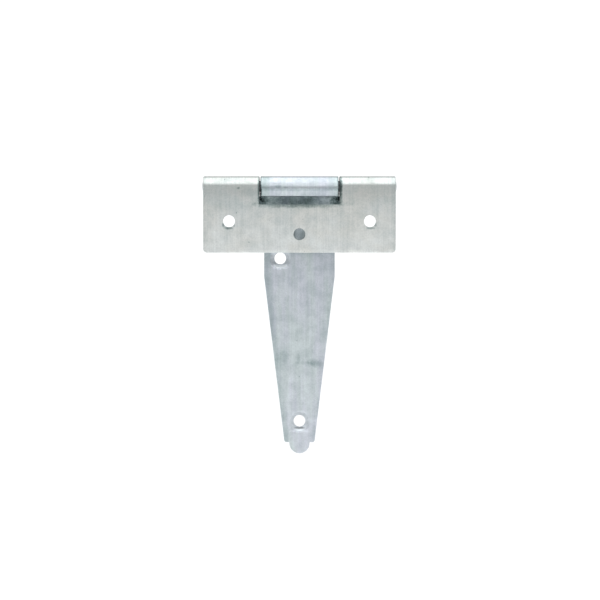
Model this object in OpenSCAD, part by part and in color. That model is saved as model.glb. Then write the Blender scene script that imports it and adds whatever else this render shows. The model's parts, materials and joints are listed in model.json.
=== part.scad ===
// Tee hinge. A wide cross plate and a long tapered strap are each one steel sheet, rolled at
// the end into knuckles that turn on a single peened pin.
//
// The hinge is drawn folded shut: the strap hangs parallel to the cross plate, front to front.
// The origin is on the cross plate's mounting face, midway between its two outer screw holes.
// +X runs along the pin, +Y goes from the cross plate to the strap, and +Z is up.

/* [Sheet and knuckles] */
// Thickness of the steel sheet that both leaves are made of
sheet_t = 2.5; // [2:0.1:2.8]
// Outside diameter of the rolled knuckles
knuckle_d = 11; // [10.5:0.1:12]
// Gap between the free end of the cross plate's rolls and the face of their own sheet
seam_gap = 0.3; // [0.2:0.05:0.8]
// Angle past level with the pin at which the strap's roll ends and runs on straight
strap_roll_a = 25; // [18:1:40]
// Length of the straight tail at the end of the strap's roll
strap_tail_l = 3.6; // [2:0.1:3.8]

/* [Pin] */
// Clearance on the radius between the pin and the knuckles
pin_clearance = 0.05; // [0.02:0.01:0.1]
// Height of the domed, peened end outside the knuckles
peen_h = 0.8; // [0.4:0.1:1.5]
// How far the peened end spreads over the bore, on the radius
peen_spread = 0.6; // [0.3:0.1:1.2]

/* [Cross plate] */
// Length of the cross plate along the pin
plate_l = 104; // [96:1:112]
// Height of the outer screw holes' line below the pin
holes_below_pin = 19; // [17:0.5:22]
// Distance from the outer screw holes' line down to the plate's lower edge
plate_below_holes = 17; // [14:0.5:20]
// Radius of the plate's two lower corners
plate_corner_r = 2; // [1:0.5:5]
// Width of the notch that the strap's knuckle turns in
notch_w = 43.3; // [43.2:0.1:46]
// Depth of the notch below the pin
notch_depth = 10; // [8:0.5:12]
// Distance between the two outer screw holes
outer_spacing = 76; // [70:1:84]
// How far the centre screw hole sits below the outer ones
centre_hole_drop = 7; // [5:0.5:9]

/* [Strap] */
// Width of the strap's knuckle
strap_knuckle_w = 42.1; // [41:0.1:42.8]
// Width of the strap's base, just below its knuckle
base_w = 44.2; // [43:0.1:45]
// Depth below the pin at which the base starts, clear of the cross plate's knuckles
base_top_depth = 5.2; // [5.1:0.1:7]
// Width of the neck below the knuckle
neck_w = 38.5; // [34:0.5:40]
// Depth below the pin at which the base starts to narrow to the neck
neck_top_depth = 11; // [8:0.5:14]
// Depth below the pin at which the neck has its own width
neck_depth = 27; // [20:0.5:32]
// Depth below the pin at which the long taper starts
taper_depth = 49; // [45:0.5:55]
// Depth below the pin of the shoulders at the end of the taper
shoulder_depth = 139.6; // [137:0.2:140]
// Width across the shoulders
shoulder_w = 16.4; // [14:0.2:18]
// Radius of the shoulders' corners
shoulder_r = 1.4; // [0.5:0.1:2]
// Length of the strap from the pin to the end of its nose
strap_l = 145.7; // [144:0.1:147]
// Radius of the round nose
nose_r = 5.5; // [5:0.1:6.5]

/* [Screw holes] */
// Diameter of a screw hole through the sheet
hole_d = 6.4; // [5:0.1:6.8]
// Diameter of the countersink at the sheet's front face
countersink_d = 10.4; // [9:0.1:10.8]
// Distance of each neck hole from the strap's middle line
neck_hole_side = 10.5; // [8:0.5:11]
// Depth below the pin of the upper neck hole, on the right of the middle line
upper_neck_hole_depth = 22.5; // [20:0.5:26]
// Depth below the pin of the lower neck hole, on the left of the middle line
lower_neck_hole_depth = 39; // [36:0.5:46]
// Depth below the pin of the hole near the tip
tip_hole_depth = 128; // [120:0.5:129]

/* [Hidden] */
$fn = 128;

knuckle_r = knuckle_d / 2;
bore_r = knuckle_r - sheet_t;
pin_r = bore_r - pin_clearance;
pin_y = knuckle_r;
pin_z = holes_below_pin;
strap_back_y = knuckle_d;
hole_r = hole_d / 2;
countersink_r = countersink_d / 2;
// Angle from straight down, towards their own sheet, at which the cross plate's rolls end
roll_end_a = asin((bore_r - seam_gap) / knuckle_r);
zinc_plate = [0.78, 0.80, 0.80];
zinc_strap = [0.72, 0.75, 0.77];
zinc_pin = [0.62, 0.64, 0.66];
// Cutting tools reach this far past the faces they cut
over = 1;

// The cross plate's roll, seen along the pin with its own sheet on the left. It leaves the
// sheet level with the pin, goes over the top, and stops just short of the sheet again.
module closed_roll_profile() {
    reach = knuckle_d;
    difference() {
        circle(r = knuckle_r);
        circle(r = bore_r);
        polygon([
            [0, 0],
            [-reach, 0],
            [-reach, -reach],
            [-reach * tan(roll_end_a), -reach]
        ]);
    }
}

// The strap's roll, seen the same way. It ends part of the way down the far side, and runs
// on straight as a tail that points down and inwards.
module open_roll_profile() {
    reach = knuckle_d;
    inner_face = [bore_r * cos(strap_roll_a), -bore_r * sin(strap_roll_a)];
    down_tail = [-sin(strap_roll_a), -cos(strap_roll_a)];
    difference() {
        union() {
            circle(r = knuckle_r);
            rotate(-strap_roll_a)
                translate([0, -strap_tail_l])
                    square([knuckle_r, strap_tail_l]);
        }
        circle(r = bore_r);
        polygon([
            [0, 0],
            [-reach, 0],
            [-reach, -reach],
            inner_face + reach * down_tail,
            inner_face
        ]);
        rotate(-strap_roll_a)
            translate([0, -strap_tail_l - reach])
                square([reach, reach]);
    }
}

// A child profile round the pin, drawn out from x = from to x = to
module along_pin(from, to) {
    translate([from, pin_y, pin_z])
        rotate([90, 0, 90])
            linear_extrude(to - from)
                children();
}

// A sheet standing in the XZ plane, from its lowest Y face
module sheet(y) {
    translate([0, y + sheet_t, 0])
        rotate([90, 0, 0])
            linear_extrude(sheet_t)
                children();
}

// A countersunk screw hole along Z: the mounting face is at z = 0, the front face at sheet_t
module screw_hole() {
    sink_h = countersink_r - hole_r;
    translate([0, 0, -over])
        cylinder(r = hole_r, h = sheet_t + 2 * over);
    translate([0, 0, sheet_t - sink_h])
        cylinder(r1 = hole_r, r2 = countersink_r + over, h = sink_h + over);
}

// Outline of the cross plate's flat part, level with the pin at its top
module plate_outline() {
    half_l = plate_l / 2;
    corner_x = half_l - plate_corner_r;
    corner_z = plate_corner_r - plate_below_holes;
    difference() {
        union() {
            translate([-half_l, corner_z])
                square([plate_l, pin_z - corner_z]);
            translate([-corner_x, -plate_below_holes])
                square([2 * corner_x, plate_corner_r]);
            for (side = [-1, 1])
                translate([side * corner_x, corner_z])
                    circle(r = plate_corner_r);
        }
        translate([-notch_w / 2, pin_z - notch_depth])
            square([notch_w, notch_depth + over]);
    }
}

// Outline of the strap's flat part, level with the pin at its top
module strap_outline() {
    taper_a = atan((neck_w - shoulder_w) / 2 / (shoulder_depth - taper_depth));
    shoulder_z = pin_z - shoulder_depth;
    // Centre of the right shoulder's corner, and the point where the taper runs into it
    corner = [
        shoulder_w / 2 - shoulder_r * (1 - sin(taper_a)) / cos(taper_a),
        shoulder_z + shoulder_r
    ];
    taper_end = corner + shoulder_r * [cos(taper_a), -sin(taper_a)];
    right_side = [
        [strap_knuckle_w / 2, pin_z],
        [strap_knuckle_w / 2, pin_z - base_top_depth],
        [base_w / 2, pin_z - base_top_depth],
        [base_w / 2, pin_z - neck_top_depth],
        [neck_w / 2, pin_z - neck_depth],
        [neck_w / 2, pin_z - taper_depth],
        taper_end,
        [corner[0], shoulder_z]
    ];
    last = len(right_side) - 1;
    left_side = [for (i = [last:-1:0]) [-right_side[i][0], right_side[i][1]]];

    polygon(concat(right_side, left_side));
    for (side = [-1, 1])
        translate([side * corner[0], corner[1]])
            circle(r = shoulder_r);
    translate([0, pin_z - strap_l + nose_r]) {
        circle(r = nose_r);
        translate([-nose_r, 0])
            square([2 * nose_r, nose_r]);
    }
}

// Wide leaf: two knuckles, a notch between them, and three screw holes
module cross_plate() {
    color(zinc_plate) {
        difference() {
            sheet(0) plate_outline();
            for (place = [
                [-outer_spacing / 2, 0],
                [outer_spacing / 2, 0],
                [0, -centre_hole_drop]
            ])
                translate([place[0], 0, place[1]])
                    rotate([-90, 0, 0])
                        screw_hole();
        }
        along_pin(-plate_l / 2, -notch_w / 2) closed_roll_profile();
        along_pin(notch_w / 2, plate_l / 2) closed_roll_profile();
    }
}

// Long leaf: one knuckle, a wider base, a parallel neck, a taper to a round nose, and three
// screw holes
module strap() {
    color(zinc_strap) {
        difference() {
            sheet(strap_back_y - sheet_t) strap_outline();
            for (place = [
                [neck_hole_side, upper_neck_hole_depth],
                [-neck_hole_side, lower_neck_hole_depth],
                [0, tip_hole_depth]
            ])
                translate([place[0], strap_back_y, pin_z - place[1]])
                    rotate([90, 0, 0])
                        screw_hole();
        }
        along_pin(-strap_knuckle_w / 2, strap_knuckle_w / 2)
            mirror([1, 0]) open_roll_profile();
    }
}

// One end of the pin, hammered into a low dome that is wider than the bore
module peened_end() {
    base_r = bore_r + peen_spread;
    dome_r = (base_r * base_r + peen_h * peen_h) / (2 * peen_h);
    intersection() {
        translate([0, 0, peen_h - dome_r])
            sphere(r = dome_r);
        cylinder(r = base_r + over, h = peen_h + over);
    }
}

// Steel pin through all three knuckles, peened over at both ends
module hinge_pin() {
    color(zinc_pin)
        translate([0, pin_y, pin_z])
            rotate([0, 90, 0]) {
                cylinder(r = pin_r, h = plate_l, center = true);
                for (turn = [0, 180])
                    rotate([turn, 0, 0])
                        translate([0, 0, plate_l / 2])
                            peened_end();
            }
}

cross_plate();
strap();
hinge_pin();
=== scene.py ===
"""Tee hinge in bright zinc plated steel, folded shut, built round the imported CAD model.

Each leaf is made the way the real one is: a flat blank with its edges, holes and
countersinks is cut out first, and is then rolled round the pin. Lengths are in metres.
"""

import json
import math

import bmesh
import bpy
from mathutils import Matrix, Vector, noise


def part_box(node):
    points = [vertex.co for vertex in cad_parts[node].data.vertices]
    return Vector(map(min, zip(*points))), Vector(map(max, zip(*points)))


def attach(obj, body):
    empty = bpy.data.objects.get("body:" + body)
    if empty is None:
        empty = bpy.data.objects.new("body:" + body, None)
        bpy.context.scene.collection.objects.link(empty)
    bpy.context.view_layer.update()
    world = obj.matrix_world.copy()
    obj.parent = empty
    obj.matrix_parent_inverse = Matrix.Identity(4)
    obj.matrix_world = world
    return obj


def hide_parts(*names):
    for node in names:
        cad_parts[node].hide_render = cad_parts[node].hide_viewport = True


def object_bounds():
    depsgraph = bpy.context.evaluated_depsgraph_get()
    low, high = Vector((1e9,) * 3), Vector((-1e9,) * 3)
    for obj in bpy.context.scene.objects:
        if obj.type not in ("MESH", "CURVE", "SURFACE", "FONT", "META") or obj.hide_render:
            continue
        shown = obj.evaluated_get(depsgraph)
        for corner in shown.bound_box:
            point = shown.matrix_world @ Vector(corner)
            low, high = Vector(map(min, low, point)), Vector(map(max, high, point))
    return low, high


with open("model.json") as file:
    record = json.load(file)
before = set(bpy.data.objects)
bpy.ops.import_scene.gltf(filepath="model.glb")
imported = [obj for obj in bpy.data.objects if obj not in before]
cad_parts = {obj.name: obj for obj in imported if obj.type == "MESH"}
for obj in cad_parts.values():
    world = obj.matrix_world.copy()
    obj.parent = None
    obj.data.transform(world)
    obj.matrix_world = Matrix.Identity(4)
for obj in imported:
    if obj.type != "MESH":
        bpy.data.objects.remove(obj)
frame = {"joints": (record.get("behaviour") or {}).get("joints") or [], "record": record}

MM = 0.001
cad_low, cad_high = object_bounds()

# ---------------------------------------------------------------- sizes from the frame

plate_low, plate_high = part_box("cross_plate")
strap_low, strap_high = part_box("strap")
pin_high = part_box("hinge_pin")[1]
mounts = {mount["name"]: mount for mount in frame["record"]["mounts"]}
pin_axis = Vector(frame["joints"][0]["pos_m"])

KNUCKLE_R = plate_high.z - pin_axis.z
SHEET_T = 2.5 * MM
BORE_R = KNUCKLE_R - SHEET_T
PIN_R = BORE_R - 0.05 * MM
SEAM_GAP = 0.3 * MM
NOTCH_W = 43.3 * MM
NOTCH_DEPTH = 10 * MM
STRAP_KNUCKLE_W = 42.1 * MM

# Each leaf's roll: which side its sheet is on along Y, how far it turns, and the length of
# the straight tail that follows
PLATE_ROLL = (-1, 1.5 * math.pi + math.asin((BORE_R - SEAM_GAP) / KNUCKLE_R), 0)
STRAP_ROLL = (1, math.radians(180 + 25), 3.6 * MM)
HOLE_R = mounts["strap_tip_screw"]["dims"]["r_mm"] * MM
SINK_DEPTH = 2 * MM

# How the blanks are divided: angle between the creases of a roll, and the flat grid
ROLL_STEP = math.radians(3.2)
GRID = 3.2 * MM
CORNER_STEP = math.radians(9)
HOLE_SIDES = 72

# Rounding of the sheet's edges, and how far the sheet is out of true
BACK_ROUND = 0.4 * MM
FRONT_ROUND = 0.45 * MM
BURR_ROUND = 0.15 * MM
RIM_ROUND = 2 * MM
WAVE_DEPTH = 0.04 * MM
WAVE_SIZE = 14 * MM

# Where the outer face of a roll is stretched thinner: (middle, reach down, reach up) along
# the sheet from the level of the pin, and the depth at the middle
PLATE_THINNING = (2.9 * MM, 9.9 * MM, 5.7 * MM, 0.5 * MM)
STRAP_THINNING = (15.6 * MM, 6.9 * MM, 4.8 * MM, 0.75 * MM)

# The cross plate's lower part leans in towards the strap, from this far below the pin
LEAN = 0.3 * MM
LEAN_START = 12 * MM

# Materials of a leaf, by face: zinc faces, sheared edges, countersinks and hole walls
FACE, SHEARED, SINK, BORE = range(4)


# ---------------------------------------------------------------- sheet metal

def inset_loop(corners, inset):
    """The outline moved inwards, as points. Each corner is (x, s, radius), anticlockwise."""
    points = []
    for i, (x, s, radius) in enumerate(corners):
        corner = Vector((x, s))
        before = Vector(corners[i - 1][:2])
        after = Vector(corners[(i + 1) % len(corners)][:2])
        ahead = (corner - before).normalized()
        away = (after - corner).normalized()
        left = Vector((-ahead.y, ahead.x))
        left_after = Vector((-away.y, away.x))
        turn = math.atan2(ahead.x * away.y - ahead.y * away.x, ahead.dot(away))
        convex = 1 if turn > 0 else -1
        moved = corner + (left + left_after) * inset / (1 + left.dot(left_after))
        arc_r = max(radius - convex * inset, 0.02 * MM)
        start = moved - ahead * arc_r * math.tan(abs(turn) / 2)
        centre = start + left * arc_r * convex
        steps = max(2, round(abs(turn) / CORNER_STEP))
        for k in range(steps + 1):
            a = turn * k / steps
            arm = start - centre
            point = centre + Vector((
                arm.x * math.cos(a) - arm.y * math.sin(a),
                arm.x * math.sin(a) + arm.y * math.cos(a)))
            if not points or (point - points[-1]).length > 0.001 * MM:
                points.append(point)
    return points


def quarter(radius, steps=5):
    """A rounded edge as (inset from the side, height above the face), from face to side."""
    angles = [math.pi / 2 * k / steps for k in range(steps + 1)]
    return [(radius * (1 - math.sin(a)), radius * (1 - math.cos(a))) for a in angles]


def edge_profile():
    """The blank's edge from its mounting face to its front face, as (inset, depth, material)."""
    back = [(inset, w, FACE) for inset, w in quarter(BACK_ROUND)]
    front = [(inset, SHEET_T - w, FACE) for inset, w in reversed(quarter(FRONT_ROUND))]
    back[-1] = (back[-1][0], back[-1][1], SHEARED)
    return back + front


def hole_profile():
    """A screw hole from the mounting face to the front face, as (radius, depth, material)."""
    land = SHEET_T - SINK_DEPTH
    ease = 0.06 * MM
    rows = [(HOLE_R + grow, w, FACE) for grow, w in quarter(BURR_ROUND, 4)]
    rows[-1] = (rows[-1][0], rows[-1][1], BORE)
    rows += [
        (HOLE_R, land - ease, BORE),
        (HOLE_R + 0.3 * ease, land + 0.2 * ease, SINK),
        (HOLE_R + 1.2 * ease, land + 1.2 * ease, SINK),
    ]
    cone_slope = math.pi / 4
    flat_r = HOLE_R + SINK_DEPTH + RIM_ROUND * math.tan(cone_slope / 2)
    steps = 6
    for k in range(steps + 1):
        slope = cone_slope * (1 - k / steps)
        rows.append((
            flat_r - RIM_ROUND * math.sin(slope),
            SHEET_T - RIM_ROUND * (1 - math.cos(slope)),
            SINK if k < steps / 2 else FACE))
    return rows


def add_wall(bm, loops, materials):
    """Joins neighbouring closed loops with faces, and returns the loops' vertices."""
    rings = [[bm.verts.new(point) for point in loop] for loop in loops]
    for low, high, material in zip(rings, rings[1:], materials):
        for i in range(len(low)):
            j = (i + 1) % len(low)
            bm.faces.new((low[i], low[j], high[j], high[i])).material_index = material
    return rings


def cut(bm, place, direction):
    """Divides every face that the plane crosses."""
    everything = bm.verts[:] + bm.edges[:] + bm.faces[:]
    bmesh.ops.bisect_plane(
        bm, geom=everything, dist=0.002 * MM, plane_co=place, plane_no=direction)


def flat_side(face):
    """0 for a face lying in the mounting face, 1 for one in the front face, else None."""
    for side, depth in enumerate((0, SHEET_T)):
        if all(abs(v.co.z - depth) < 1e-8 for v in face.verts):
            return side
    return None


def merge_flats(bm, lines):
    """Joins the flat triangles into one face for each stretch between the lines."""
    groups = {}
    for face in bm.faces:
        side = flat_side(face)
        if side is not None:
            middle = face.calc_center_median()
            section = sum(middle.x > x for x in lines)
            groups.setdefault((side, section, middle.y > 0), []).append(face)
    for faces in groups.values():
        bmesh.ops.dissolve_faces(bm, faces=faces, use_verts=True)


def make_blank(corners, holes):
    """The flat blank in (x, s, depth): s runs up the sheet from the level of the pin."""
    bm = bmesh.new()
    profile = edge_profile()
    loops = [
        [Vector((p.x, p.y, w)) for p in inset_loop(corners, inset)]
        for inset, w, _ in profile]
    rims = [add_wall(bm, loops, [row[2] for row in profile])]
    profile = hole_profile()
    for x, s in holes:
        loops = [
            [Vector((x + r * math.cos(a), s + r * math.sin(a), w)) for a in hole_angles()]
            for r, w, _ in profile]
        rims.append(add_wall(bm, loops, [row[2] for row in profile]))
    for end in (0, -1):
        edges = [
            bm.edges.get((ring[end][i - 1], ring[end][i]))
            for ring in rims for i in range(len(ring[end]))]
        bmesh.ops.triangle_fill(bm, edges=edges, use_beauty=True)

    lines = sorted({x for x, _ in holes})
    for x in lines:
        cut(bm, (x, 0, 0), (1, 0, 0))
    cut(bm, (0, 0, 0), (0, 1, 0))
    merge_flats(bm, lines)
    return bm


def hole_angles():
    """Directions of a hole's corners, none of them along an axis of the blank."""
    return [2 * math.pi * (k + 0.5) / HOLE_SIDES for k in range(HOLE_SIDES)]


def roll_length(roll):
    """Length of the rolled part of a blank, with its straight tail."""
    _, turn, tail = roll
    return turn * KNUCKLE_R + tail


def divide(bm, roll):
    """Cuts the blank into a grid where it stays flat, and into creases where it is rolled."""
    _, turn, tail = roll
    low = [min(v.co[i] for v in bm.verts) for i in (0, 1)]
    high_x = max(v.co.x for v in bm.verts)
    for k in range(1, math.ceil((high_x - low[0]) / GRID)):
        cut(bm, (low[0] + k * GRID, 0, 0), (1, 0, 0))
    for k in range(1, math.ceil(-low[1] / GRID)):
        cut(bm, (0, -k * GRID, 0), (0, 1, 0))
    creases = round(turn / ROLL_STEP)
    for k in range(1, creases + 1 if tail else creases):
        cut(bm, (0, turn * KNUCKLE_R * k / creases, 0), (0, 1, 0))
    for k in range(1, 4 if tail else 1):
        cut(bm, (0, turn * KNUCKLE_R + tail * k / 4, 0), (0, 1, 0))


def thinned(s, w, thinning):
    """How far the outer face, at w = 0, is drawn in by the bending at s."""
    middle, down, up, depth = thinning
    away = (s - middle) / (up if s > middle else down)
    if abs(away) > 1:
        return 0
    return depth * math.cos(away * math.pi / 2) ** 2 * (1 - w / SHEET_T)


def lean(s):
    """How far the free lower part of the cross plate stands inside its true plane."""
    share = (-s - LEAN_START) / (pin_axis.z - plate_low.z - LEAN_START)
    return LEAN * max(share, 0) ** 2


def roll_up(bm, roll, thinning):
    """Bends the blank round the pin."""
    side, turn, tail = roll
    sheet = bm.verts.layers.float_vector.new("sheet_mm")
    for v in bm.verts:
        x, s, w = v.co
        v[sheet] = v.co / MM
        wave = noise.noise(Vector((x, s, 3.7 * side)) / WAVE_SIZE)
        arm = KNUCKLE_R - w - WAVE_DEPTH * (0.5 + 0.5 * wave) - thinned(s, w, thinning)
        if side < 0:
            arm -= lean(s)
        angle = min(max(s, 0) / KNUCKLE_R, turn)
        straight = s - angle * KNUCKLE_R
        v.co = (
            x,
            pin_axis.y + side * (arm * math.cos(angle) - straight * math.sin(angle)),
            pin_axis.z + arm * math.sin(angle) + straight * math.cos(angle))
    bmesh.ops.recalc_face_normals(bm, faces=bm.faces[:])


def finish_piece(bm, name, body, node, materials):
    """Turns the mesh into a smooth-shaded piece that stands for its CAD node."""
    mesh = bpy.data.meshes.new(name)
    bm.to_mesh(mesh)
    bm.free()
    mesh.shade_smooth()
    for material in materials:
        mesh.materials.append(material)
    piece = bpy.data.objects.new(name, mesh)
    bpy.context.scene.collection.objects.link(piece)
    weighted = piece.modifiers.new("weighted_normals", "WEIGHTED_NORMAL")
    weighted.weight = 50
    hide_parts(node)
    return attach(piece, body)


def both_sides(right):
    """A symmetric outline from the corners of its right side, listed upwards."""
    return right + [(-x, s, radius) for x, s, radius in reversed(right)]


def plate_corners():
    """Outline of the cross plate's blank, anticlockwise from its lower right corner."""
    half = plate_high.x
    bottom = plate_low.z - pin_axis.z
    notch = NOTCH_W / 2
    top = roll_length(PLATE_ROLL)
    return both_sides([
        (half, bottom, 2 * MM),
        (half, top, 0.5 * MM),
        (notch, top, 0.5 * MM),
        (notch, -NOTCH_DEPTH, 0.4 * MM),
    ])


def strap_corners():
    """Outline of the strap's blank, anticlockwise from the right side of its nose.

    A narrow web at the foot of the knuckle closes the gap beside it below the pin.
    """
    half_knuckle = STRAP_KNUCKLE_W / 2
    web = half_knuckle + 0.5 * MM
    nose_r = 5.5 * MM
    shoulder = -139.6 * MM
    base_top = -5.2 * MM
    bottom = strap_low.z - pin_axis.z
    return both_sides([
        (nose_r, bottom, nose_r),
        (nose_r, shoulder, 0.4 * MM),
        (8.2 * MM, shoulder, 1.4 * MM),
        (19.25 * MM, -49 * MM, 8 * MM),
        (19.25 * MM, -27 * MM, 5 * MM),
        (strap_high.x, -11 * MM, 5 * MM),
        (strap_high.x, base_top, 0.2 * MM),
        (web, base_top, 0.2 * MM),
        (web, -3.2 * MM, 0.4 * MM),
        (half_knuckle, -2.4 * MM, 0.4 * MM),
        (half_knuckle, roll_length(STRAP_ROLL), 0.5 * MM),
    ])


def in_sheet(place):
    """A place in the row's frame as (x, s) on the blank's flat part."""
    return place[0], place[2] - pin_axis.z


def cross_plate_holes():
    """The two outer holes and the centre one."""
    pattern = mounts["plate_outer_screws"]
    half = pattern["dims"]["spacing_x_mm"] * MM / 2
    x, s = in_sheet(pattern["pos_m"])
    return [(x - half, s), (x + half, s), in_sheet(mounts["plate_centre_screw"]["pos_m"])]


def strap_holes():
    """The two neck holes lie on a slant through their middle, and one hole is near the nose."""
    pattern = mounts["strap_neck_screws"]
    x, s = in_sheet(pattern["pos_m"])
    across = 10.5 * MM
    along = math.sqrt((pattern["dims"]["pcd_mm"] * MM / 2) ** 2 - across ** 2)
    return [
        (x + across, s + along),
        (x - across, s - along),
        in_sheet(mounts["strap_tip_screw"]["pos_m"]),
    ]


def make_leaf(name, body, node, corners, holes, roll, thinning, materials):
    """Cuts out a blank, rolls it round the pin and adds it to the scene."""
    bm = make_blank(corners, holes)
    divide(bm, roll)
    roll_up(bm, roll, thinning)
    return finish_piece(bm, name, body, node, materials)


# ---------------------------------------------------------------- pin

def pin_profile():
    """Half of the pin's outline, from the middle of its length to the middle of its end."""
    end = plate_high.x
    dome_h = pin_high.x - end
    dome_r = pin_high.z - pin_axis.z
    sphere_r = (dome_r ** 2 + dome_h ** 2) / (2 * dome_h)
    rows = [(0.01 * k * end, PIN_R) for k in range(0, 100, 2)]
    rows += [(end - 0.02 * MM, PIN_R), (end, PIN_R), (end, dome_r - 0.1 * MM)]
    rim = 0.94
    for k in range(13):
        r = dome_r * (1 if k == 0 else rim * (1 - k / 12))
        height = math.sqrt(sphere_r ** 2 - r ** 2) - (sphere_r - dome_h)
        rows.append((end + max(height, 0.08 * MM if k == 0 else 0), r))
    return rows


def make_pin(materials):
    """The pin, turned from its outline, with hammered ends."""
    bm = bmesh.new()
    sheet = bm.verts.layers.float_vector.new("sheet_mm")
    half = pin_profile()
    rows = [(-x, r) for x, r in reversed(half)] + half[1:]
    sides = 64
    rings = []
    for x, r in rows:
        ring = []
        for k in range(1 if r < 0.001 * MM else sides):
            a = 2 * math.pi * k / sides
            outside = abs(x) > plate_high.x + 0.02 * MM
            dent = noise.noise(Vector((x, r * math.cos(a), r * math.sin(a))) / (1.3 * MM))
            depth = 0.07 * MM * (0.5 + 0.5 * dent) if outside else 0
            place = Vector((x - math.copysign(depth, x), r * math.cos(a), r * math.sin(a)))
            v = bm.verts.new(place + Vector((0, pin_axis.y, pin_axis.z)))
            v[sheet] = place / MM
            ring.append(v)
        rings.append(ring)
    for low, high in zip(rings, rings[1:]):
        for k in range(sides):
            near = [low[k % len(low)], low[(k + 1) % len(low)]]
            far = [high[(k + 1) % len(high)], high[k % len(high)]]
            corners = list(dict.fromkeys(near + far))
            bm.faces.new(corners)
    bmesh.ops.recalc_face_normals(bm, faces=bm.faces[:])
    return finish_piece(
        bm, "peened_pin", "cross_leaf", "hinge_pin", materials)


# ---------------------------------------------------------------- materials

class Shader:
    """Adds nodes to one new material and joins them. A value is a number or a socket."""

    def __init__(self, name):
        self.material = bpy.data.materials.new(name)
        self.material.use_nodes = True
        self.tree = self.material.node_tree
        self.surface = self.tree.nodes["Principled BSDF"]

    def add(self, kind, values=(), **settings):
        """A new node, with a value or a link for each of the named inputs."""
        node = self.tree.nodes.new(kind)
        for key, value in settings.items():
            setattr(node, key, value)
        for key, value in dict(values).items():
            self.put(node.inputs[key], value)
        return node

    def put(self, socket, value):
        if isinstance(value, bpy.types.NodeSocket):
            self.tree.links.new(value, socket)
        else:
            socket.default_value = value

    def math(self, operation, a, b=0.0, c=0.0, clamp=False):
        values = {0: a, 1: b, 2: c}
        node = self.add("ShaderNodeMath", values, operation=operation, use_clamp=clamp)
        return node.outputs[0]

    def place(self):
        """The place on the flat blank, (x, s, depth) in millimetres."""
        return self.add("ShaderNodeAttribute", attribute_name="sheet_mm").outputs["Vector"]

    def split_place(self):
        """The three parts of the place, as X, Y and Z."""
        return self.add("ShaderNodeSeparateXYZ", {0: self.place()}).outputs

    def sheet(self, scale, turn=0.0, shift=0.0):
        """The place turned about its depth, shifted, and times scale on each axis."""
        mapping = self.add("ShaderNodeMapping", {
            "Vector": self.place(),
            "Rotation": (0, 0, turn),
            "Location": (shift, shift, shift),
        })
        scaled = self.add(
            "ShaderNodeVectorMath",
            {0: mapping.outputs["Vector"], 1: scale},
            operation="MULTIPLY")
        return scaled.outputs["Vector"]

    def noise(self, scale, detail=3.0, turn=0.0, shift=0.0):
        """Noise from 0 to 1; scale is in features per millimetre on each axis of the sheet."""
        node = self.add("ShaderNodeTexNoise", {
            "Vector": self.sheet(scale, turn, shift),
            "Scale": 1.0,
            "Detail": detail,
            "Roughness": 0.6,
        })
        return node.outputs["Fac"]

    def between(self, value, low, high, to_low=0.0, to_high=1.0):
        """Eases from to_low at low to to_high at high, and stays level outside them."""
        node = self.add("ShaderNodeMapRange", {
            "Value": value,
            "From Min": low,
            "From Max": high,
            "To Min": to_low,
            "To Max": to_high,
        }, interpolation_type="SMOOTHSTEP")
        return node.outputs["Result"]

    def blend(self, amount, a, b, mode="MIX"):
        node = self.add("ShaderNodeMix", data_type="RGBA", blend_type=mode)
        self.put(node.inputs["Factor"], amount)
        self.put(node.inputs[6], a)
        self.put(node.inputs[7], b)
        return node.outputs[2]

    def grey(self, value):
        node = self.add("ShaderNodeCombineColor", {0: value, 1: value, 2: value})
        return node.outputs[0]

    def bump(self, height, depth, below=None):
        """Turns height, from 0 to 1, into relief of the given depth."""
        node = self.add("ShaderNodeBump", {"Height": height, "Distance": depth})
        if below is not None:
            self.put(node.inputs["Normal"], below)
        return node.outputs["Normal"]


def scratches(shader, turn, shift, width, length, share):
    """Sparse fine lines on the sheet, 1 on a scratch and 0 elsewhere."""
    fine = shader.noise((1 / width, 1 / length, 1), 1.0, turn, shift)
    patch = shader.noise((1 / 14, 1 / 20, 1), 1.0, 0.0, shift + 5)
    line = shader.between(fine, 1 - share, 1 - share + 0.05)
    return shader.math("MULTIPLY", line, shader.between(patch, 0.45, 0.6))


def pits(shader, seed):
    """Round specks in the plating, a few to the square inch: 1 in a speck and 0 elsewhere."""
    cells = shader.add("ShaderNodeTexVoronoi", {
        "Vector": shader.sheet((1 / 6, 1 / 6, 1 / 6), 0.0, seed),
        "Scale": 1.0,
    })
    speck = shader.between(cells.outputs["Distance"], 0.04, 0.09, 1.0, 0.0)
    chosen = shader.add("ShaderNodeSeparateColor", {0: cells.outputs["Color"]}).outputs[0]
    return shader.math("MULTIPLY", speck, shader.between(chosen, 0.70, 0.72))


def add_marks(shader, shade, marks, seed):
    """Stains, painted shade and painted highlights, each (x, s, depth, width, height, change in
    shade).

    Depth is from the mounting face, and a mark reaches less than the sheet's thickness.
    """
    place = shader.place()
    ragged = shader.noise((1 / 1.6, 1 / 1.6, 1), 3.0, 0.0, seed)
    for x, s, depth, width, height, change in marks:
        offset = shader.add(
            "ShaderNodeVectorMath", {0: place, 1: (-x, -s, -depth)}, operation="ADD")
        scaled = shader.add(
            "ShaderNodeVectorMath",
            {0: offset.outputs["Vector"], 1: (2 / width, 2 / height, 0.8)},
            operation="MULTIPLY")
        distance = shader.add(
            "ShaderNodeVectorMath", {0: scaled.outputs["Vector"]}, operation="LENGTH")
        edge = shader.math("ADD", distance.outputs["Value"], ragged)
        inside = shader.between(edge, 0.75, 1.65, change, 0.0)
        shade = shader.math("ADD", shade, inside)
    return shade


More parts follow.
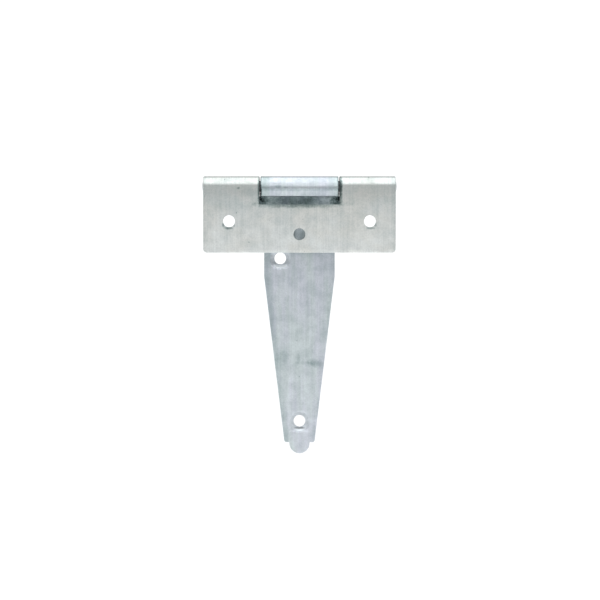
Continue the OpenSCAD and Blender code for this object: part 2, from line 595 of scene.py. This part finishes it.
def add_edges(shader, shade, edges):
    """Darker along both long edges of a blank, which may taper.

    edges is (s, half the width at s and below it, other s, half the width there and above it,
    how far the darkening reaches, change in shade at the left edge, change at the right edge).
    """
    place = shader.split_place()
    low_s, low_half, high_s, high_half, reach, left, right = edges
    half = shader.add("ShaderNodeMapRange", {
        "Value": place["Y"],
        "From Min": low_s,
        "From Max": high_s,
        "To Min": low_half,
        "To Max": high_half,
    }).outputs["Result"]
    from_left = shader.math("ADD", half, place["X"])
    from_right = shader.math("SUBTRACT", half, place["X"])
    shade = shader.math("ADD", shade, shader.between(from_left, 0, reach, left, 0.0))
    return shader.math("ADD", shade, shader.between(from_right, 0, reach, right, 0.0))


def zinc(name, tint, clouds, roughness, slope, edges, marks, seed):
    """Bright zinc plate: tinted clouds, rolling streaks, scratches, specks, stains, and painted
    shade and highlights.

    clouds is (size across, size along, one tint, another tint). slope is (s, shade at s and
    below it, other s, shade there and above it), a painted gradient of light along the sheet.
    """
    shader = Shader(name)
    across, along, tint_a, tint_b = clouds
    cloud = shader.noise((1 / across, 1 / along, 1 / across), 3.0, 0.0, seed)
    bloom = shader.noise((1 / 7, 1 / 7, 1 / 7), 5.0, 0.0, seed + 11)
    grain = shader.noise((1 / 0.9, 1 / 0.9, 1 / 0.9), 2.0, 0.0, seed + 23)
    streak = shader.noise((1 / 1.1, 1 / 38, 1), 3.0, 0.0, seed + 31)
    fine_a = scratches(shader, 0.35, seed + 41, 0.16, 9.0, 0.32)
    fine_b = scratches(shader, -0.9, seed + 53, 0.14, 7.0, 0.31)
    specks = pits(shader, seed + 61)

    low_s, low_shade, high_s, high_shade = slope
    shade = shader.between(shader.split_place()["Y"], low_s, high_s, low_shade, high_shade)
    shade = shader.math("ADD", shade, shader.between(bloom, 0.3, 0.7, -0.10, 0.07))
    shade = shader.math("ADD", shade, shader.between(streak, 0.3, 0.7, -0.06, 0.04))
    shade = shader.math("ADD", shade, shader.between(grain, 0.3, 0.7, -0.045, 0.045))
    shade = shader.math("SUBTRACT", shade, shader.math("MULTIPLY", specks, 0.35))
    shade = shader.math("SUBTRACT", shade, shader.math("MULTIPLY", fine_b, 0.10))
    shade = add_edges(shader, shade, edges)
    shade = add_marks(shader, shade, marks, seed + 71)
    shade = shader.math("MAXIMUM", shade, 0.04)
    # Darker plate, from stains and painted shade alike, is bluer than bare plate
    blueness = shader.math("MULTIPLY_ADD", shade, 0.25, 0.75, clamp=True)
    red = shader.math("MULTIPLY", shade, blueness)
    tone = shader.add("ShaderNodeCombineColor", {0: red, 1: shade, 2: shade}).outputs[0]

    colour = shader.blend(shader.between(cloud, 0.35, 0.65), tint_a, tint_b)
    colour = shader.blend(1.0, colour, tint, "MULTIPLY")
    colour = shader.blend(1.0, colour, tone, "MULTIPLY")

    rough = shader.between(bloom, 0.3, 0.7, roughness + 0.05, roughness - 0.04)
    rough = shader.math("ADD", rough, shader.between(streak, 0.3, 0.7, 0.03, -0.02))
    rough = shader.math("SUBTRACT", rough, shader.math("MULTIPLY", fine_a, 0.08), clamp=True)

    relief = shader.bump(bloom, 0.05 * MM)
    relief = shader.bump(streak, 0.006 * MM, relief)
    relief = shader.bump(grain, 0.012 * MM, relief)
    relief = shader.bump(shader.math("ADD", fine_a, fine_b), -0.010 * MM, relief)

    shader.surface.inputs["Metallic"].default_value = 1.0
    shader.put(shader.surface.inputs["Base Color"], colour)
    shader.put(shader.surface.inputs["Roughness"], rough)
    shader.put(shader.surface.inputs["Normal"], relief)
    return shader.material


def sheared(name, tint, seed, painted_joint_shade=None):
    """A punched edge: streaks across the sheet's thickness, with painted shade in the joint.

    The painted shade in the joint is given as (how far it reaches to each side, its lowest level
    on the blank).
    """
    shader = Shader(name)
    streak = shader.noise((1 / 0.35, 1 / 0.35, 1 / 4.0), 3.0, 0.0, seed)
    cloud = shader.noise((1 / 5, 1 / 5, 1 / 5), 3.0, 0.0, seed + 7)
    shade = shader.math("MULTIPLY", shader.between(streak, 0.3, 0.7, 0.72, 1.0),
                        shader.between(cloud, 0.3, 0.7, 0.85, 1.0))
    # Painted shade on the edges inside the joint
    if painted_joint_shade:
        side, foot = painted_joint_shade
        place = shader.split_place()
        across = shader.math("ABSOLUTE", place["X"])
        shade_in_joint = shader.math("MULTIPLY", shader.between(across, side, side + 0.8, 0.7, 0.0),
                             shader.between(place["Y"], foot - 1.2, foot))
        shade = shader.math("MULTIPLY", shade, shader.math("SUBTRACT", 1.0, shade_in_joint))
    colour = shader.blend(1.0, tint, shader.grey(shade), "MULTIPLY")
    shader.surface.inputs["Metallic"].default_value = 1.0
    shader.put(shader.surface.inputs["Base Color"], colour)
    shader.put(shader.surface.inputs["Roughness"],
               shader.between(streak, 0.3, 0.7, 0.55, 0.38))
    shader.put(shader.surface.inputs["Normal"], shader.bump(streak, 0.03 * MM))
    return shader.material


def turned(name, tint, marks, seed):
    """A countersink: fine rings left by the cutter, made white and non-metallic where its marks
    paint a highlight.
    """
    shader = Shader(name)
    ring = shader.add("ShaderNodeTexWave", {
        "Vector": shader.sheet((0.02, 0.02, 1), 0.0, 0.0),
        "Scale": 1.3,
        "Distortion": 0.6,
    }, bands_direction="Z")
    cloud = shader.noise((1 / 2.5, 1 / 2.5, 1 / 2.5), 3.0, 0.0, seed)
    shade = shader.math("MULTIPLY", shader.between(ring.outputs["Fac"], 0, 1, 0.90, 1.0),
                        shader.between(cloud, 0.3, 0.7, 0.86, 1.0))
    shade = add_marks(shader, shade, marks, seed + 71)
    shader.surface.inputs["Metallic"].default_value = 1.0
    # Where the marks paint a highlight, the countersink is made white and not metallic
    if max(change for *_, change in marks) > 0.3:
        painted_highlight_white = shader.between(shade, 1.1, 1.5)
        shader.put(shader.surface.inputs["Metallic"], shader.math("SUBTRACT", 1.0, painted_highlight_white))
        shade = shader.math("MINIMUM", shade, 1.3)
    colour = shader.blend(1.0, tint, shader.grey(shade), "MULTIPLY")
    shader.put(shader.surface.inputs["Base Color"], colour)
    shader.put(shader.surface.inputs["Roughness"],
               shader.between(cloud, 0.3, 0.7, 0.62, 0.50))
    shader.put(shader.surface.inputs["Normal"],
               shader.bump(ring.outputs["Fac"], 0.02 * MM))
    return shader.material


def pin_zinc():
    """Zinc plated wire, with painted shade along the shank where it lies in the joint, and
    hammer marked at the ends.
    """
    shader = Shader("pin_zinc")
    cloud = shader.noise((1 / 1.6, 1 / 1.6, 1 / 1.6), 4.0, 0.0, 3.0)
    mark = shader.noise((1 / 0.5, 1 / 0.5, 1 / 0.5), 2.0, 0.0, 9.0)
    along = shader.math("ABSOLUTE", shader.split_place()["X"])
    end = plate_high.x / MM
    # Painted shade along the shank, where it lies in the joint
    painted_joint_shade = shader.between(along, end - 0.2, end, 0.3, 1.0)
    shade = shader.math("MULTIPLY", shader.between(cloud, 0.3, 0.7, 0.74, 1.0), painted_joint_shade)
    colour = shader.blend(1.0, (0.60, 0.62, 0.64, 1), shader.grey(shade), "MULTIPLY")
    shader.surface.inputs["Metallic"].default_value = 1.0
    shader.put(shader.surface.inputs["Base Color"], colour)
    shader.put(shader.surface.inputs["Roughness"],
               shader.between(cloud, 0.3, 0.7, 0.46, 0.30))
    relief = shader.bump(cloud, 0.05 * MM)
    shader.put(shader.surface.inputs["Normal"], shader.bump(mark, 0.02 * MM, relief))
    return shader.material


def shaded(tint, share):
    """The tint made darker or lighter."""
    return tuple(share * c for c in tint[:3]) + (1,)


def leaf_materials(name, tint, clouds, slope, edges, painted_joint_shade, marks, seed):
    """One leaf's materials, in the order of FACE, SHEARED, SINK and BORE."""
    return [
        zinc(name + "_zinc", tint, clouds, 0.33, slope, edges, marks, seed),
        sheared(name + "_sheared_edge", shaded(tint, 0.66), seed, painted_joint_shade),
        # The countersinks are painted lighter than the plate, as painted light, and the hole
        # walls darker, as painted shade
        turned(name + "_countersink", shaded(tint, 1.2), marks, seed),
        sheared(name + "_hole_wall", shaded(tint, 0.45), seed + 5),
    ]


# ---------------------------------------------------------------- stains, painted shade and painted highlights

# Each is (x, s, depth from the mounting face, width, height, change in shade), in millimetres
# on the flat blank
PLATE_MARKS = [
    # Handling marks beside the notch, and a paler patch on the right
    (-33, -1.2, 0, 2.2, 1.6, -0.35),
    (-28, -3.0, 0, 12, 6, -0.07),
    (-46, -9.0, 0, 11, 9, -0.06),
    (27, -12.0, 0, 14, 8, 0.03),
    # Painted shade round the notch: below it, on its left and on its right
    (0, -9.8, 0, 58, 4.8, -0.50),
    (-21.8, -1, 0, 1.8, 24, -0.60),
    (22.0, -1, 0, 2.9, 24, -0.75),
    # Painted shade under the left outer hole, and then under the right one
    (-38.2, -22.7, 0, 6, 1.8, -0.55),
    (-41.0, -20.9, 0, 1.8, 3.2, -0.50),
    (-35.3, -21.3, 0, 1.6, 2.4, -0.32),
    (38.4, -22.7, 0, 6, 1.8, -0.42),
    (41.0, -20.9, 0, 1.7, 2.8, -0.38),
    # A painted highlight along the lower edge
    (8, -35.3, 0, 110, 2.4, 0.09),
]
STRAP_MARKS = [
    # Smudges across the taper, two thirds of the way down
    (7.8, -96.3, 2.5, 11, 6.0, -0.25),
    (4, -96.2, 2.5, 14, 2.4, -0.12),
    (-9.5, -93.5, 2.5, 10, 9, -0.18),
    (-0.8, -93.5, 2.5, 2.6, 10, -0.22),
    # Paler spots above them and beside the tip hole
    (4.5, -87, 2.5, 2.5, 2, 0.08),
    (7, -127.5, 2.5, 6, 3, 0.06),
    # Smudges on the near side of the knuckle, and painted shade in a line along it
    (-11.6, 17.7, 0, 4.5, 2.4, -0.22),
    (-7.6, 18.0, 0, 3.0, 1.8, -0.15),
    (0, 19.3, 0, 96, 2.2, -0.17),
    # Painted shade in the gaps at the knuckle's ends
    (-20.9, 12, 0, 1.0, 22, -0.35),
    (-20.9, 20.5, 0, 1.8, 9, -0.60),
    (20.9, 12, 0, 1.0, 22, -0.45),
    # Painted shade at the foot of the knuckle and in the corners of the notch
    (0, -7.5, 2.5, 52, 9, -0.55),
    (-21.4, -4.5, 2.5, 2.6, 6, -0.60),
    (21.4, -4.5, 2.5, 2.6, 6, -0.60),
    (-20.5, -8, 2.5, 8, 9, -0.28),
    (20.5, -8, 2.5, 9, 10, -0.45),
    # Painted shade behind the centre hole, and a painted shadow under the cross plate's lower
    # edge
    (0, -26, 2.5, 10, 10, -0.24),
    (0, -37.2, 2.5, 60, 4, -0.08),
    # The lower side of the tip hole's countersink: painted shade inside and a painted highlight
    # outside
    (0, -131.8, 1.2, 9.0, 1.6, -0.45),
    (0, -133.3, 2.2, 11, 2.6, 0.38),
    # A painted highlight on the lower side of the lower neck hole's countersink
    (-10.5, -43.4, 1.8, 11, 4.6, 0.9),
]


# ---------------------------------------------------------------- stage, lights and camera

def make_floor():
    """A plain pale floor well below the hinge, which hangs in front of the camera."""
    bm = bmesh.new()
    bmesh.ops.create_circle(bm, cap_ends=True, segments=96, radius=17.0)
    mesh = bpy.data.meshes.new("pale_floor")
    bm.to_mesh(mesh)
    bm.free()
    floor = bpy.data.objects.new("pale_floor", mesh)
    floor.location.z = cad_low.z - 0.5
    shader = Shader("pale_floor")
    shader.surface.inputs["Base Color"].default_value = (0.95, 0.95, 0.95, 1)
    shader.surface.inputs["Roughness"].default_value = 0.9
    shader.surface.inputs["Specular IOR Level"].default_value = 0.1
    mesh.materials.append(shader.material)
    bpy.context.scene.collection.objects.link(floor)


def make_world():
    """A studio seen as bands from the horizon in front, over the top, to the one behind.

    A bright ceiling, a dimmer wall behind the camera, a dark band high up behind the hinge
    that outlines its knuckles, and white at the horizon behind it.
    """
    bands = [
        (0, 0.84), (10, 0.45), (24, 0.42), (40, 1.75), (104, 1.75),
        (124, 0.45), (146, 0.45), (166, 1.10), (180, 1.10)]
    brightest = max(level for _, level in bands)
    sides = 0.7

    world = bpy.data.worlds.new("studio")
    world.use_nodes = True
    bpy.context.scene.world = world
    tree = world.node_tree

    def calculate(operation, a, b=0.0):
        node = tree.nodes.new("ShaderNodeMath")
        node.operation = operation
        for socket, value in zip(node.inputs, (a, b)):
            if isinstance(value, bpy.types.NodeSocket):
                tree.links.new(value, socket)
            else:
                socket.default_value = value
        return node.outputs[0]

    place = tree.nodes.new("ShaderNodeTexCoord")
    split = tree.nodes.new("ShaderNodeSeparateXYZ")
    tree.links.new(place.outputs["Generated"], split.inputs[0])
    forwards = calculate("MULTIPLY", split.outputs["Y"], -1.0)
    upwards = calculate("ABSOLUTE", split.outputs["Z"])
    angle = calculate("DIVIDE", calculate("ARCTAN2", upwards, forwards), math.pi)
    ramp = tree.nodes.new("ShaderNodeValToRGB")
    tree.links.new(angle, ramp.inputs["Fac"])
    stops = ramp.color_ramp.elements
    while len(stops) < len(bands):
        stops.new(0.5)
    for stop, (degrees, level) in zip(stops, bands):
        stop.position = degrees / 180
        grey = level / brightest
        stop.color = (grey, grey, grey, 1)
    level = calculate("MULTIPLY", ramp.outputs["Color"], brightest)
    sideways = calculate("POWER", calculate("ABSOLUTE", split.outputs["X"]), 2.0)
    mixed = tree.nodes.new("ShaderNodeMix")
    tree.links.new(sideways, mixed.inputs["Factor"])
    tree.links.new(level, mixed.inputs["A"])
    mixed.inputs["B"].default_value = sides

    seen = tree.nodes.new("ShaderNodeMix")
    tree.links.new(tree.nodes.new("ShaderNodeLightPath").outputs["Is Camera Ray"],
                   seen.inputs["Factor"])
    tree.links.new(mixed.outputs["Result"], seen.inputs["A"])
    seen.inputs["B"].default_value = 1.1
    background = tree.nodes["Background"]
    background.inputs["Color"].default_value = (0.99, 1.0, 1.0, 1)
    tree.links.new(seen.outputs["Result"], background.inputs["Strength"])


def make_camera():
    """Almost level with the hinge and well in front of it, looking straight at its plate."""
    distance = 0.8
    elevation = math.radians(1.5)
    frame_width = 0.3240
    aim = Vector((0.0003, plate_low.y, pin_axis.z - 0.0615))
    data = bpy.data.cameras.new("camera")
    data.sensor_width = 36
    data.lens = data.sensor_width * distance / frame_width
    data.clip_start, data.clip_end = 0.01, 50
    camera = bpy.data.objects.new("camera", data)
    back = Vector((0, -math.cos(elevation), math.sin(elevation)))
    camera.location = aim + back * distance
    camera.rotation_mode = "QUATERNION"
    camera.rotation_quaternion = (-back).to_track_quat("-Z", "Y")
    bpy.context.scene.collection.objects.link(camera)
    bpy.context.scene.camera = camera


# ---------------------------------------------------------------- the scene

make_camera()
make_leaf(
    "wide_leaf", "cross_leaf", "cross_plate",
    plate_corners(), cross_plate_holes(), PLATE_ROLL, PLATE_THINNING,
    leaf_materials(
        "plate",
        tint=(0.695, 0.71, 0.698, 1),
        clouds=(24, 18, (0.98, 1.0, 1.01, 1), (1.005, 1.0, 0.985, 1)),
        # The slope paints the plate darker towards its roll, a painted gradient of light
        slope=(-30, 1.04, -2, 0.93),
        edges=(-36, 52, 0, 52, 3.0, -0.07, -0.07),
        painted_joint_shade=(22.2, -11.0),
        marks=PLATE_MARKS,
        seed=2.0))
make_leaf(
    "long_leaf", "strap_leaf", "strap",
    strap_corners(), strap_holes(), STRAP_ROLL, STRAP_THINNING,
    leaf_materials(
        "strap",
        tint=(0.60, 0.636, 0.67, 1),
        clouds=(8, 45, (1.0, 0.99, 1.03, 1), (0.97, 1.01, 0.98, 1)),
        # The slope paints the strap lighter towards its tip, a painted gradient of light
        slope=(-135, 1.05, -40, 0.97),
        edges=(-139.6, 8.2, -49, 19.25, 5.0, -0.19, -0.09),
        painted_joint_shade=(24.0, -4.0),
        marks=STRAP_MARKS,
        seed=71.0))
make_pin([pin_zinc()])

make_floor()
make_world()
bpy.context.scene.view_settings.view_transform = "Standard"
